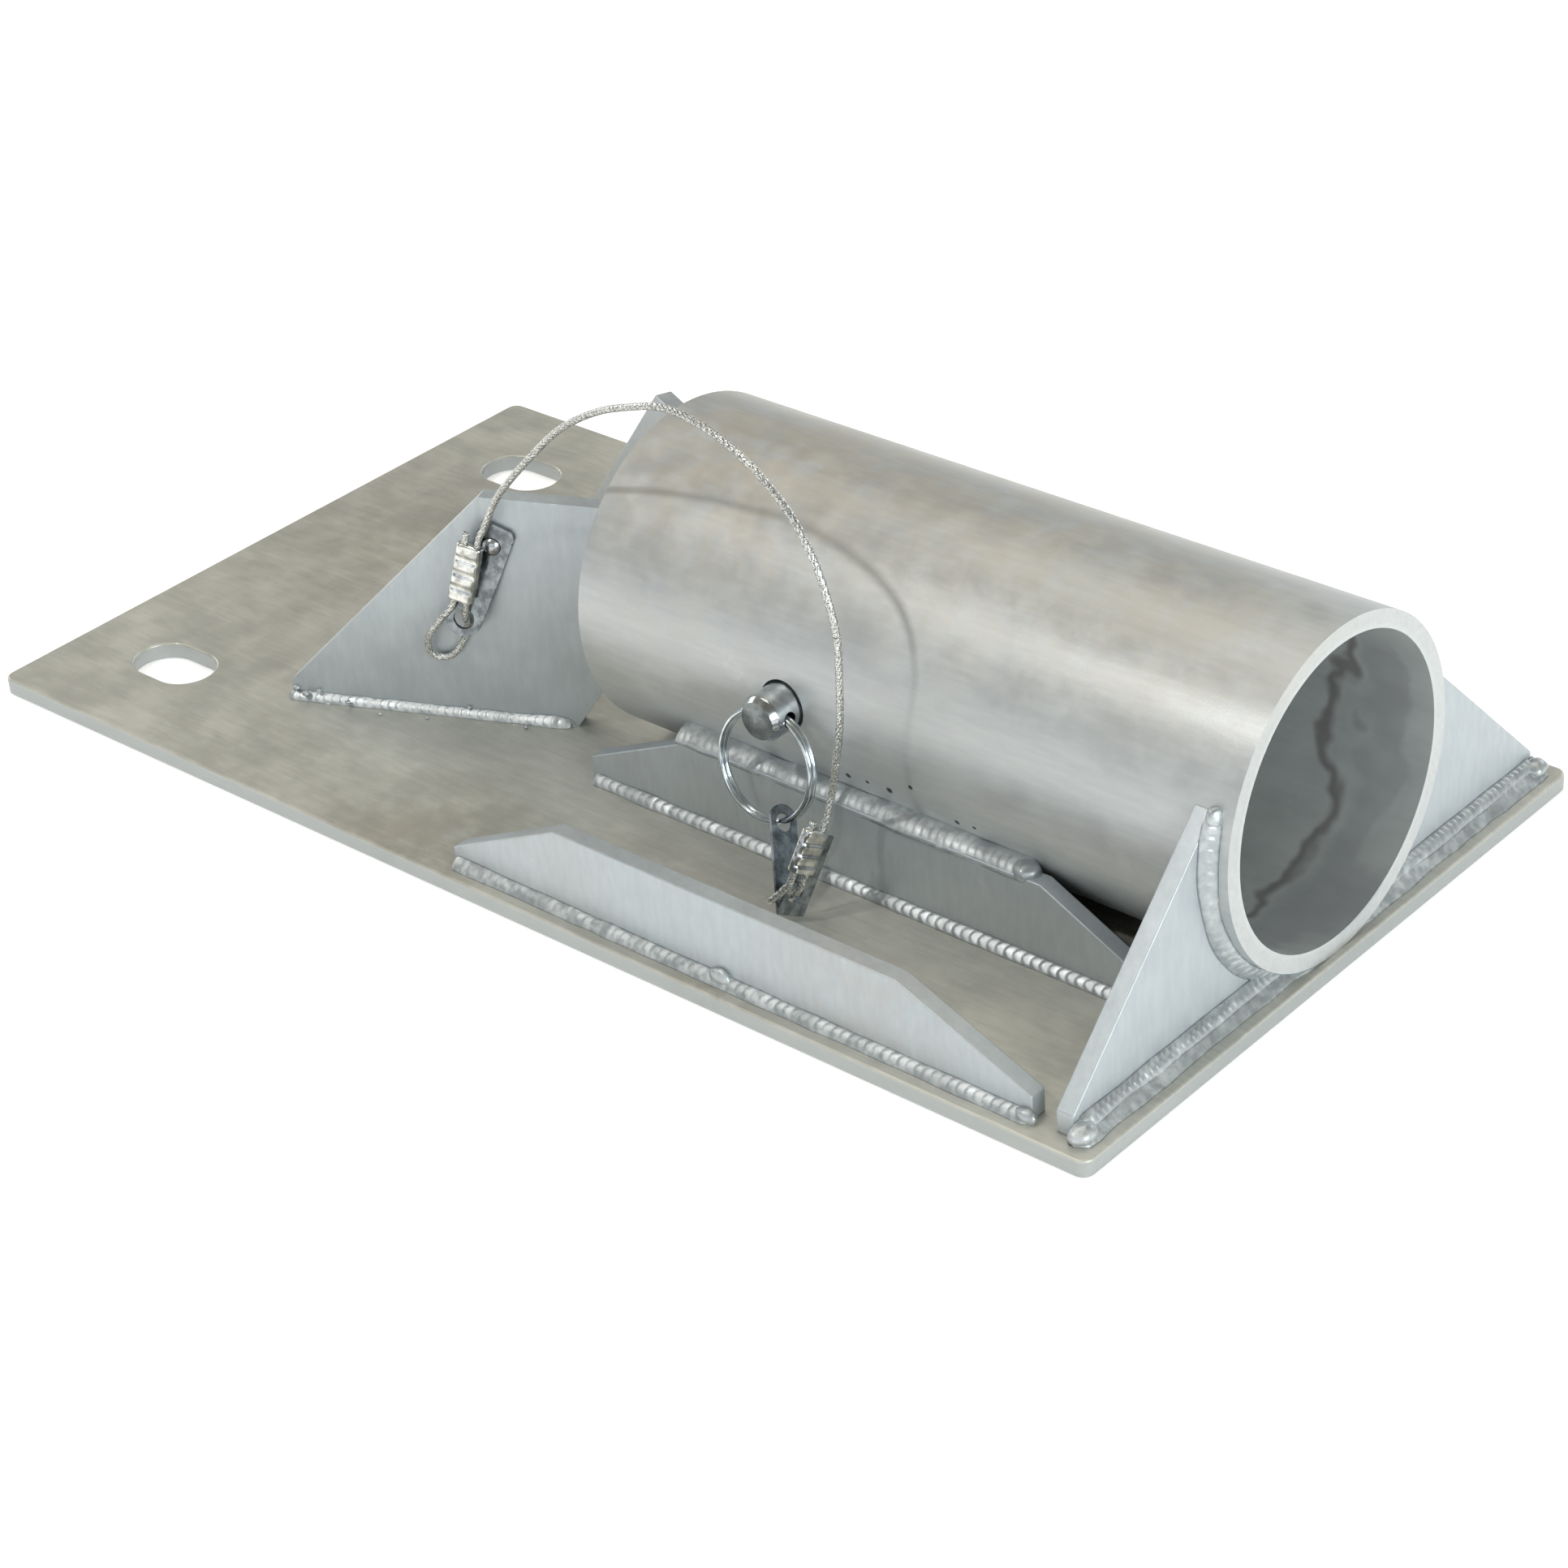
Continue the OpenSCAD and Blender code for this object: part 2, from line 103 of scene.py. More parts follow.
def make_camera():
    """A long lens, a little above the near front corner."""
    azimuth, elevation = math.radians(42.01), math.radians(32.74)
    roll = math.radians(-3.63)
    right = Vector((math.cos(azimuth), math.sin(azimuth), 0))
    up = Vector(
        (
            -math.sin(azimuth) * math.sin(elevation),
            math.cos(azimuth) * math.sin(elevation),
            math.cos(elevation),
        )
    )
    back = right.cross(up)
    rolled_right = right * math.cos(roll) + up * math.sin(roll)
    rolled_up = up * math.cos(roll) - right * math.sin(roll)
    data = bpy.data.cameras.new("camera")
    data.lens = 89.5
    data.sensor_width = 36
    data.shift_x = -0.0453
    data.shift_y = 0.0424
    data.clip_start = 0.05
    data.clip_end = 50
    camera = bpy.data.objects.new("camera", data)
    turn = Matrix((rolled_right, rolled_up, back)).transposed().to_4x4()
    camera.matrix_world = Matrix.Translation((0.7854, -0.8249, 0.6839)) @ turn
    scene.collection.objects.link(camera)
    scene.camera = camera


# --------------------------------------------------------------- materials


class Paint:
    """A material made of nodes, with short calls for the ones used here."""

    def __init__(self, name):
        self.material = bpy.data.materials.new(name)
        self.material.use_nodes = True
        self.tree = self.material.node_tree
        self.tree.nodes.clear()
        self.out = self.add("ShaderNodeOutputMaterial")
        self.shader = self.add("ShaderNodeBsdfPrincipled")
        self.join(self.shader.outputs[0], self.out.inputs[0])
        self.place = self.add("ShaderNodeTexCoord").outputs["Object"]

    def add(self, kind, **settings):
        made = self.tree.nodes.new(kind)
        for key, value in settings.items():
            setattr(made, key, value)
        return made

    def join(self, source, target):
        self.tree.links.new(source, target)

    def put(self, target, value):
        """Sets an input to a number or colour, or joins a socket to it."""
        if isinstance(value, bpy.types.NodeSocket):
            self.join(value, target)
        else:
            target.default_value = value

    def scaled(self, scale):
        node = self.add("ShaderNodeMapping")
        self.join(self.place, node.inputs["Vector"])
        node.inputs["Scale"].default_value = scale
        return node.outputs[0]

    def noise(self, scale, detail=4, rough=0.55, stretch=None):
        node = self.add("ShaderNodeTexNoise")
        where = self.place if stretch is None else self.scaled(stretch)
        self.join(where, node.inputs["Vector"])
        node.inputs["Scale"].default_value = scale
        node.inputs["Detail"].default_value = detail
        node.inputs["Roughness"].default_value = rough
        return node.outputs["Fac"]

    def span(self, value, low, high, to_low=0.0, to_high=1.0):
        node = self.add("ShaderNodeMapRange", interpolation_type="SMOOTHSTEP")
        self.put(node.inputs["Value"], value)
        for key, number in (
            ("From Min", low),
            ("From Max", high),
            ("To Min", to_low),
            ("To Max", to_high),
        ):
            node.inputs[key].default_value = number
        return node.outputs[0]

    def sum(self, a, b, operation="ADD"):
        node = self.add("ShaderNodeMath", operation=operation)
        self.put(node.inputs[0], a)
        self.put(node.inputs[1], b)
        return node.outputs[0]

    def mix(self, amount, a, b, blend="MIX"):
        node = self.add("ShaderNodeMix", data_type="RGBA", blend_type=blend)
        self.put(node.inputs[0], amount)
        self.put(node.inputs[6], a)
        self.put(node.inputs[7], b)
        return node.outputs[2]

    def spot(self, centre, radius, soft=0.5):
        """1 at a point in millimetres, fading to 0 at a radius."""
        node = self.add("ShaderNodeVectorMath", operation="DISTANCE")
        self.join(self.place, node.inputs[0])
        node.inputs[1].default_value = [c * MM for c in centre]
        return self.span(
            node.outputs["Value"], radius * soft * MM, radius * MM, 1, 0
        )

    def bump(self, height, strength, distance=0.0002, after=None):
        node = self.add("ShaderNodeBump")
        self.join(height, node.inputs["Height"])
        node.inputs["Strength"].default_value = strength
        node.inputs["Distance"].default_value = distance
        if after is not None:
            self.join(after, node.inputs["Normal"])
        return node.outputs[0]

    def finish(self, colour, rough, normal=None, metallic=1.0):
        self.put(self.shader.inputs["Base Color"], colour)
        self.put(self.shader.inputs["Roughness"], rough)
        self.shader.inputs["Metallic"].default_value = metallic
        if normal is not None:
            self.join(normal, self.shader.inputs["Normal"])
        return self.material


def grey(r, g, b):
    """A colour from sRGB values of 0 to 255."""
    return tuple(
        (c / 255 / 12.92)
        if c / 255 <= 0.04045
        else ((c / 255 + 0.055) / 1.055) ** 2.4
        for c in (r, g, b)
    ) + (1,)


def mill_aluminium(
    name, light, dark, grain, stains=(), specks=(), recolour=None, sheared_edges=False
):
    """Rolled or extruded stock: clouds, fine grain, stains and handling."""
    p = Paint(name)
    clouds = p.noise(14, 5, 0.6)
    fine = p.noise(90, 6, 0.65)
    rolled = p.noise(60, 3, 0.6, stretch=grain)
    tone = p.span(p.sum(p.sum(clouds, fine), rolled), 1.05, 1.95)
    colour = p.mix(tone, dark, light)
    scuffs = p.span(p.noise(32, 8, 0.75), 0.60, 0.72, 0, 0.28)
    colour = p.mix(scuffs, colour, grey(232, 232, 228))
    for centre, radius, strength, shade in stains:
        mask = p.sum(p.spot(centre, radius, 0.1), strength, "MULTIPLY")
        mask = p.sum(mask, p.span(p.noise(70, 5, 0.7), 0.3, 0.6), "MULTIPLY")
        colour = p.mix(mask, colour, shade)
    for centre, radius in specks:
        colour = p.mix(p.spot(centre, radius, 0.55), colour, grey(70, 72, 74))
    # The tube's recolour step paints heat tint and painted light in the bore.
    if recolour is not None:
        colour = recolour(p, colour)
    if sheared_edges:
        split = p.add("ShaderNodeSeparateXYZ")
        p.join(p.place, split.inputs[0])
        sheared = p.span(split.outputs[2], 0.0052, 0.0061, 0.75, 0)
        colour = p.mix(sheared, colour, grey(160, 166, 168))
    rough = p.span(p.sum(clouds, fine), 0.7, 1.3, 0.36, 0.52)
    normal = p.bump(p.noise(1400, 3, 0.6), 0.16, 0.00012)
    normal = p.bump(rolled, 0.10, 0.0002, normal)
    normal = p.bump(p.noise(24, 2, 0.4), 0.12, 0.0012, normal)
    return p.finish(colour, rough, normal, 0.62)


def heat_tint_and_painted_bore_light(p, colour):
    """The blued outline that the front weld left inside the socket's wall, with painted
    light in the bore: all of it painted brighter, and painted shade that deepens towards
    its back.
    """
    split = p.add("ShaderNodeSeparateXYZ")
    p.join(p.place, split.inputs[0])
    x, y, z = split.outputs
    wander = p.span(p.noise(26, 3, 0.5), 0.3, 0.7, -0.010, 0.010)
    edge = p.sum(x, wander)
    low = p.sum(z, AXIS_Z * MM, "SUBTRACT")
    inside = p.sum(
        p.sum(y, y, "MULTIPLY"), p.sum(low, low, "MULTIPLY"), "ADD"
    )
    inside = p.span(inside, 0.0518**2, 0.0530**2, 1, 0)
    line = p.sum(
        p.span(edge, 0.199, 0.2025),
        p.span(edge, 0.203, 0.208, 1, 0),
        "MULTIPLY",
    )
    band = p.sum(
        p.span(edge, 0.206, 0.214), p.span(edge, 0.228, 0.233, 1, 0), "MULTIPLY"
    )
    below = p.span(low, 0.020, 0.032, 1, 0)
    line = p.sum(p.sum(line, inside, "MULTIPLY"), below, "MULTIPLY")
    band = p.sum(p.sum(band, inside, "MULTIPLY"), below, "MULTIPLY")
    # Painted shade: the bore painted darker towards its back, mottled by noise.
    painted_bore_shade = p.sum(
        p.sum(inside, p.span(x, -0.02, 0.19, 1, 0.25), "MULTIPLY"),
        p.span(p.noise(40, 6, 0.7), 0.35, 0.65),
        "MULTIPLY",
    )
    # Painted light: the whole bore painted a little brighter.
    colour = p.mix(p.sum(inside, 0.3, "MULTIPLY"), colour, grey(216, 222, 222))
    colour = p.mix(p.sum(painted_bore_shade, 0.2, "MULTIPLY"), colour, grey(150, 156, 158))
    colour = p.mix(p.sum(band, 0.30, "MULTIPLY"), colour, grey(150, 146, 158))
    return p.mix(p.sum(line, 0.62, "MULTIPLY"), colour, grey(104, 92, 92))


def weld_metal():
    p = Paint("weld_bead")
    fine = p.noise(300, 4, 0.6)
    colour = p.mix(p.span(fine, 0.35, 0.65), grey(172, 178, 181), grey(206, 211, 212))
    cloudy = p.span(p.noise(60, 4, 0.6), 0.42, 0.62, 0, 0.6)
    colour = p.mix(cloudy, colour, grey(168, 173, 176))
    rough = p.span(fine, 0.3, 0.7, 0.34, 0.5)
    return p.finish(colour, rough, p.bump(fine, 0.15, 0.0002), 0.7)


def bright_steel(name, light, dark, rough, scale=260):
    p = Paint(name)
    fine = p.noise(scale, 4, 0.6)
    smears = p.noise(120, 3, 0.6)
    colour = p.mix(p.span(fine, 0.35, 0.65), dark, light)
    gloss = p.span(smears, 0.3, 0.7, rough * 0.6, rough * 1.5)
    return p.finish(colour, gloss, p.bump(fine, 0.10, 0.0001), 1.0)


def stranded_steel():
    p = Paint("wire_rope")
    fine = p.noise(2600, 2, 0.5)
    colour = p.mix(p.span(fine, 0.4, 0.6), grey(128, 130, 128), grey(240, 240, 236))
    return p.finish(colour, 0.24, p.bump(fine, 0.4, 0.0002), 0.75)


def coat(obj, material):
    """One material on the whole of a piece."""
    obj.data.materials.clear()
    obj.data.materials.append(material)


# ------------------------------------------------------------ mesh helpers


def mesh_object(name, points, faces):
    """A smooth mesh from points in millimetres."""
    data = bpy.data.meshes.new(name)
    data.from_pydata([tuple(c * MM for c in p) for p in points], [], faces)
    data.validate()
    obj = bpy.data.objects.new(name, data)
    scene.collection.objects.link(obj)
    made = bmesh.new()
    made.from_mesh(data)
    bmesh.ops.recalc_face_normals(made, faces=made.faces)
    made.to_mesh(data)
    made.free()
    for face in data.polygons:
        face.use_smooth = True
    return obj


def soften(node, width, segments=3):
    """A copy of a CAD piece whose hard edges are rounded over."""
    source = NODES[node]
    body = source["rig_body"]
    data = source.data.copy()
    obj = bpy.data.objects.new(node + "_soft", data)
    scene.collection.objects.link(obj)
    made = bmesh.new()
    made.from_mesh(data)
    bmesh.ops.remove_doubles(made, verts=made.verts, dist=1e-6)
    bmesh.ops.dissolve_limit(
        made, angle_limit=math.radians(0.6), verts=made.verts, edges=made.edges
    )
    made.to_mesh(data)
    made.free()
    for face in data.polygons:
        face.use_smooth = True
    edge = obj.modifiers.new("edge", "BEVEL")
    edge.width = width * MM
    edge.segments = segments
    edge.limit_method = "ANGLE"
    edge.angle_limit = math.radians(38)
    edge.use_clamp_overlap = True
    normals = obj.modifiers.new("normals", "WEIGHTED_NORMAL")
    normals.weight = 80
    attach(obj, body)
    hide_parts(node)
    return obj


def sweep(name, ends, sections):
    """A closed tube through rings of points, with a middle point at each end."""
    rings, sides = len(sections), len(sections[0])
    points = [p for ring in sections for p in ring]
    faces = []
    for i in range(rings - 1):
        for k in range(sides):
            a, b = i * sides + k, i * sides + (k + 1) % sides
            faces.append((a, b, b + sides, a + sides))
    points.append(ends[0])
    points.append(ends[-1])
    first, last = len(points) - 2, len(points) - 1
    tail = (rings - 1) * sides
    for k in range(sides):
        n = (k + 1) % sides
        faces.append((first, n, k))
        faces.append((last, tail + k, tail + n))
    return mesh_object(name, points, faces)


def smooth_path(points, steps):
    """A curve through the middle points; the two ends only steer it."""
    p = np.array(points, float)
    found = []
    for i in range(1, len(p) - 2):
        for t in np.linspace(0, 1, steps, endpoint=False):
            found.append(
                0.5
                * (
                    2 * p[i]
                    + (p[i + 1] - p[i - 1]) * t
                    + (2 * p[i - 1] - 5 * p[i] + 4 * p[i + 1] - p[i + 2]) * t**2
                    + (3 * p[i] - p[i - 1] - 3 * p[i + 1] + p[i + 2]) * t**3
                )
            )
    found.append(p[-2])
    return np.array(found)


def evenly(path, step):
    """The same path with its points a given distance apart."""
    gaps = np.linalg.norm(np.diff(path, axis=0), axis=1)
    run = np.concatenate([[0], np.cumsum(gaps)])
    count = max(2, int(round(run[-1] / step)) + 1)
    at = np.linspace(0, run[-1], count)
    return np.stack([np.interp(at, run, path[:, k]) for k in range(3)], 1), at


def carried_frames(path):
    """Directions along a path, with two sideways ones that don't twist."""
    along = np.gradient(path, axis=0)
    along /= np.linalg.norm(along, axis=1)[:, None]
    side = np.cross(along[0], (0.31, 0.87, 0.38))
    sides, ups = [], []
    for t in along:
        side = side - t * (side @ t)
        side /= np.linalg.norm(side)
        sides.append(side)
        ups.append(np.cross(t, side))
    return along, np.array(sides), np.array(ups)


# ------------------------------------------------------------------- welds


def bead(name, node, line, frames, toes, root, swell, pitch=3.4, ripple=0.5):
    """A weld bead with overlapping ripples, laid along a line of points.

    frames gives the two directions that toes and root are measured in, for
    each point of the line. The visible face swells out between the toes.
    """
    path, at = evenly(np.array(line, float), 0.42)
    first = np.array([frames(s / at[-1])[0] for s in at])
    second = np.array([frames(s / at[-1])[1] for s in at])
    across = 11
    knots = np.arange(0, at[-1] + 8, 7.0)
    lumps = np.interp(at, knots, RANDOM.normal(0, 1, len(knots)))
    sizes = RANDOM.uniform(0.65, 1.25, int(at[-1] / pitch) + 6)
    rings = []
    for i, s in enumerate(at):
        end = min(s, at[-1] - s)
        taper = math.sqrt(max(0.02, 1 - (1 - min(end / 3.0, 1)) ** 2))
        ring = []
        for j in range(across):
            v = j / (across - 1)
            bow = 4 * v * (1 - v)
            phase = (s + 0.55 * pitch * bow) / pitch + 2
            crest = phase - math.floor(phase)
            size = sizes[int(phase) % len(sizes)]
            wave = ripple * size * ((1 - crest) ** 0.7 * min(1, crest * 7) - 0.35)
            grow = 1 + 0.05 * lumps[i]
            a = (1 - v) * toes[0][0] + v * toes[1][0]
            b = (1 - v) * toes[0][1] + v * toes[1][1]
            out = np.array([toes[1][1] - toes[0][1], toes[0][0] - toes[1][0]])
            out = out / np.linalg.norm(out)
            lift = swell * bow + wave * min(1, 3 * bow + 0.15)
            a = root[0] + (a - root[0]) * grow * taper + out[0] * lift * taper
            b = root[1] + (b - root[1]) * grow * taper + out[1] * lift * taper
            ring.append(path[i] + first[i] * a + second[i] * b)
        for a, b in ((root[0], toes[1][1] * 0.5), (root[0], root[1])):
            ring.append(path[i] + first[i] * (a - 0.15) + second[i] * (b - 0.15))
        ring.append(
            path[i] + first[i] * (toes[0][0] * 0.5 - 0.15) + second[i] * (root[1] - 0.15)
        )
        rings.append(ring)
    middles = [np.mean(r, axis=0) for r in rings]
    obj = sweep(name, [middles[0], middles[-1]], rings)
    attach(obj, "base")
    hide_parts(node)
    coat(obj, WELD)
    return obj


def lay_straight_welds():
    up = np.array([0, 0, 1.0])
    for side, word in ((-1, "near"), (1, "far")):
        out = np.array([0, side, 0.0])

        def pair(f, out=out):
            return out, up

        bead(
            f"rib_bead_{word}",
            f"weld_rib_{word}",
            [(-21, side * RIB_Y, STOCK), (215.5, side * RIB_Y, STOCK)],
            pair, ((3.7, 0), (0, 3.5)), (0, 0), 0.35, 3.2, 0.14,
        )
        bead(
            f"saddle_foot_bead_{word}",
            f"weld_saddle_foot_{word}",
            [(-19, side * SADDLE_Y, STOCK), (214, side * SADDLE_Y, STOCK)],
            pair, ((3.5, 0), (0, 3.2)), (0, 0), 0.35, 3.4, 0.34,
        )
        bead(
            f"saddle_top_bead_{word}",
            f"weld_saddle_top_{word}",
            [(18, side * 54.6, 35.4), (164, side * 54.6, 35.4)],
            pair, ((4.3, -1.0), (-3.6, 3.7)), (-1.5, -1.0), 1.3, 3.0, 0.14,
        )
        turned = side * -GUSSET_TURN
        foot = np.array([math.cos(turned), math.sin(turned), 0])
        face = np.array([math.sin(GUSSET_TURN), side * math.cos(GUSSET_TURN), 0])
        start = np.array([GUSSET[0], side * -GUSSET[1], STOCK])
        bead(
            f"gusset_foot_bead_{word}",
            f"weld_gusset_foot_{word}",
            [start - foot * 1.5, start + foot * 104],
            lambda f, face=face: (face, up),
            ((3.0, 0), (0, 2.9)), (0, 0), 0.3, 3.0, 0.22,
        )
        end = np.array([-20.5, side * 24.6, 0])
        bead(
            f"gusset_end_bead_{word}",
            f"weld_gusset_end_{word}",
            [end + up * 29, end + up * 90],
            lambda f, out=out: (out, np.array([-1.0, 0, 0])),
            ((4.2, 0), (1.2, 4.2)), (0, 0), 0.4, 3.2, 0.2,
        )
    ahead = np.array([1.0, 0, 0])
    for side, word in ((-1, "near"), (1, "far")):
        bead(
            f"front_foot_bead_{word}",
            f"weld_front_base_{word}",
            [(FRONT_X, side * (FRONT_HALF + 3), STOCK), (FRONT_X, side * 3, STOCK)],
            lambda f: (ahead, up),
            ((6.6, 0), (0, 5.6)), (0, 0), 0.1, 5.2, 0.12,
        )
        bead(
            f"front_crown_{word}",
            f"weld_front_base_{word}",
            [(FRONT_X, side * 121, 10.6), (FRONT_X, side * 18, 10.6)],
            lambda f: (ahead, up),
            ((3.4, -1.6), (0, 2.4)), (0, 0), 0.75, 2.6, 0.34,
        )


def lay_front_tube_welds():
    """Round the socket, from the top of each front gusset to its foot."""
    low, high = math.radians(13), math.radians(108)
    ahead = np.array([1.0, 0, 0])
    for side, word in ((-1, "near"), (1, "far")):
        line = []
        for turn in np.linspace(high, low, 90):
            line.append(
                (
                    FRONT_X,
                    side * TUBE_R * math.sin(turn),
                    AXIS_Z - TUBE_R * math.cos(turn),
                )
            )

        def frames(f, side=side):
            turn = high + (low - high) * f
            away = np.array([0, side * math.sin(turn), -math.cos(turn)])
            return away, ahead

        bead(
            f"front_tube_bead_{word}",
            f"weld_front_tube_{word}",
            line, frames, ((4.9, 0), (0, 4.2)), (0, 0), 0.7, 3.6, 0.42,
        )


def blob(name, centre, size, body="base"):
    """A lump of weld metal or spatter, a little uneven."""
    made = bmesh.new()
    bmesh.ops.create_icosphere(made, subdivisions=3, radius=1)
    for v in made.verts:
        n = v.co.normalized()
        wobble = 1 + 0.07 * math.sin(5 * n.x + centre[0]) * math.sin(4 * n.y + 1)
        v.co = [(n[k] * size[k] * wobble + centre[k]) * MM for k in range(3)]
    data = bpy.data.meshes.new(name)
    made.to_mesh(data)
    made.free()
    for face in data.polygons:
        face.use_smooth = True
    obj = bpy.data.objects.new(name, data)
    scene.collection.objects.link(obj)
    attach(obj, body)
    coat(obj, WELD)


def gusset_point(s, z, out=0.0):
    """A point on the near rear gusset: along its foot, up, out of its face."""
    c, n = math.cos(GUSSET_TURN), math.sin(GUSSET_TURN)
    return np.array([GUSSET[0] + s * c + out * n, GUSSET[1] + s * n - out * c, z])


def lay_lumps():
    """Starts, stops and spatter along the welds."""
    blob("start_lump_near", (FRONT_X + 2.5, -FRONT_HALF + 1.0, 9.0), (4.2, 5.2, 3.2))
    blob("start_lump_far", (FRONT_X + 2.5, FRONT_HALF - 1.0, 9.0), (4.0, 4.6, 3.0))
    blob("rib_restart_near", (95, -RIB_Y - 1.0, 8.6), (4.5, 1.9, 3.4))
    blob("rib_restart_far", (95, RIB_Y + 1.0, 8.6), (4.5, 1.9, 3.4))
    for side, word in ((-1, "near"), (1, "far")):
        blob(f"tube_bead_stop_{word}", (231.3, side * 55.0, 80.6), (2.6, 3.0, 4.2))
        blob(f"saddle_bead_stop_{word}", (161.5, side * 55.0, 36.4), (4.6, 4.6, 3.1))
        blob(f"rib_end_lump_{word}", (213.5, side * (RIB_Y + 1), 8.0), (4.0, 2.2, 2.6))
    for i, (s, z, out, size) in enumerate(
        (
            (2.0, 10.5, 0.6, 1.2), (6.0, 9.5, 2.4, 1.3), (10.5, 10.6, 1.4, 0.9),
            (15.0, 8.0, 5.0, 0.8), (22.0, 8.5, 3.6, 0.9), (35.0, 7.0, 6.5, 0.7),
            (52.0, 7.0, 5.6, 0.7), (66.0, 9.8, 0.8, 0.7), (88.0, 7.0, 5.0, 0.8),
        )
    ):
        blob(f"spatter_{i}", gusset_point(s, z, out), (size, size, size * 0.8))


# --------------------------------------------------- ring, rope and fittings


def turned(point, angles):
    """A point turned about X, then Y, then Z, by angles in degrees."""
    x, y, z = point
    a, b, c = [math.radians(v) for v in angles]
    y, z = y * math.cos(a) - z * math.sin(a), y * math.sin(a) + z * math.cos(a)
    x, z = x * math.cos(b) + z * math.sin(b), z * math.cos(b) - x * math.sin(b)
    x, y = x * math.cos(c) - y * math.sin(c), x * math.sin(c) + y * math.cos(c)
    return np.array([x, y, z])


def tab_point(x, y, z):
    return np.array(TAB_HOLE) + turned((x, y, z), TAB_TURN)


def barrel_point(x, y, z):
    """A point in the ring ferrule's own frame, with z along its barrels."""
    inner = turned(
        (SLEEVE[0] + x, SLEEVE[1] + y, SLEEVE[2] + z), (FOLD_ANGLE, 0, 0)
    )
    return tab_point(inner[0], inner[1], inner[2] - FOLD_DEPTH)


def fixed_barrel_point(x, z, y=0.0):
    """A point in the fixed ferrule's own frame, with z along its barrels."""
    turn = math.radians(15.6)
    return gusset_point(
        73.3 + x * math.cos(turn) + z * math.sin(turn),
        66.2 - x * math.sin(turn) + z * math.cos(turn),
        6.4 - y,
    )


def make_split_ring():
    """Two turns of wire that overlap and step across where they meet."""
    radius, wire, drop = 18.5, 1.04, 17.6
    start, total = math.radians(97), math.radians(706)
    centres = []
    for t in np.linspace(0, 1, 400):
        turn = start + total * t
        past = (total * t - math.radians(334)) / math.radians(42)
        past = min(max(past, 0), 1)
        step = past * past * (3 - 2 * past)
        centres.append(
            (radius * math.cos(turn), -0.96 + 1.92 * step, radius * math.sin(turn))
        )
    path = np.array(centres)
    _, sides, ups = carried_frames(path)
    rings = []
    for i, centre in enumerate(path):
        end = min(i, len(path) - 1 - i)
        size = wire * min(1, 0.75 + 0.08 * end)
        ring = []
        for k in range(16):
            a = 2 * math.pi * k / 16
            ring.append(centre + size * (math.cos(a) * sides[i] + math.sin(a) * ups[i]))
        rings.append(ring)

    def placed(p):
        x, y, z = p[0], p[1], p[2] - drop
        c, s = math.cos(-RING_LEAN), math.sin(-RING_LEAN)
        return (67 + x, -62.5 + y * c - z * s, AXIS_Z + y * s + z * c)

    rings = [[placed(p) for p in ring] for ring in rings]
    ends = [placed(path[0]), placed(path[-1])]
    obj = sweep("split_ring_wire", ends, rings)
    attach(obj, "ring")
    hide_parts("split_ring")
    coat(obj, RING)


def rope_piece(name, path, start_at=0.0):
    """A stretch of six-stranded rope. start_at keeps the lay in step."""
    path, at = evenly(path, 0.5)
    _, sides, ups = carried_frames(path)
    radius, around = ROPE_D / 2, 36
    rings = []
    for i, centre in enumerate(path):
        ring = []
        for k in range(around):
            a = 2 * math.pi * k / around
            groove = abs(math.cos(3 * (a - 2 * math.pi * (at[i] + start_at) / ROPE_LAY)))
            size = radius * (0.80 + 0.22 * groove**0.6)
            ring.append(centre + size * (math.cos(a) * sides[i] + math.sin(a) * ups[i]))
        rings.append(ring)
    obj = sweep(name, [path[0], path[-1]], rings)
    coat(obj, ROPE)
    return obj, path


def length_of(path):
    return float(np.linalg.norm(np.diff(path, axis=0), axis=1).sum())


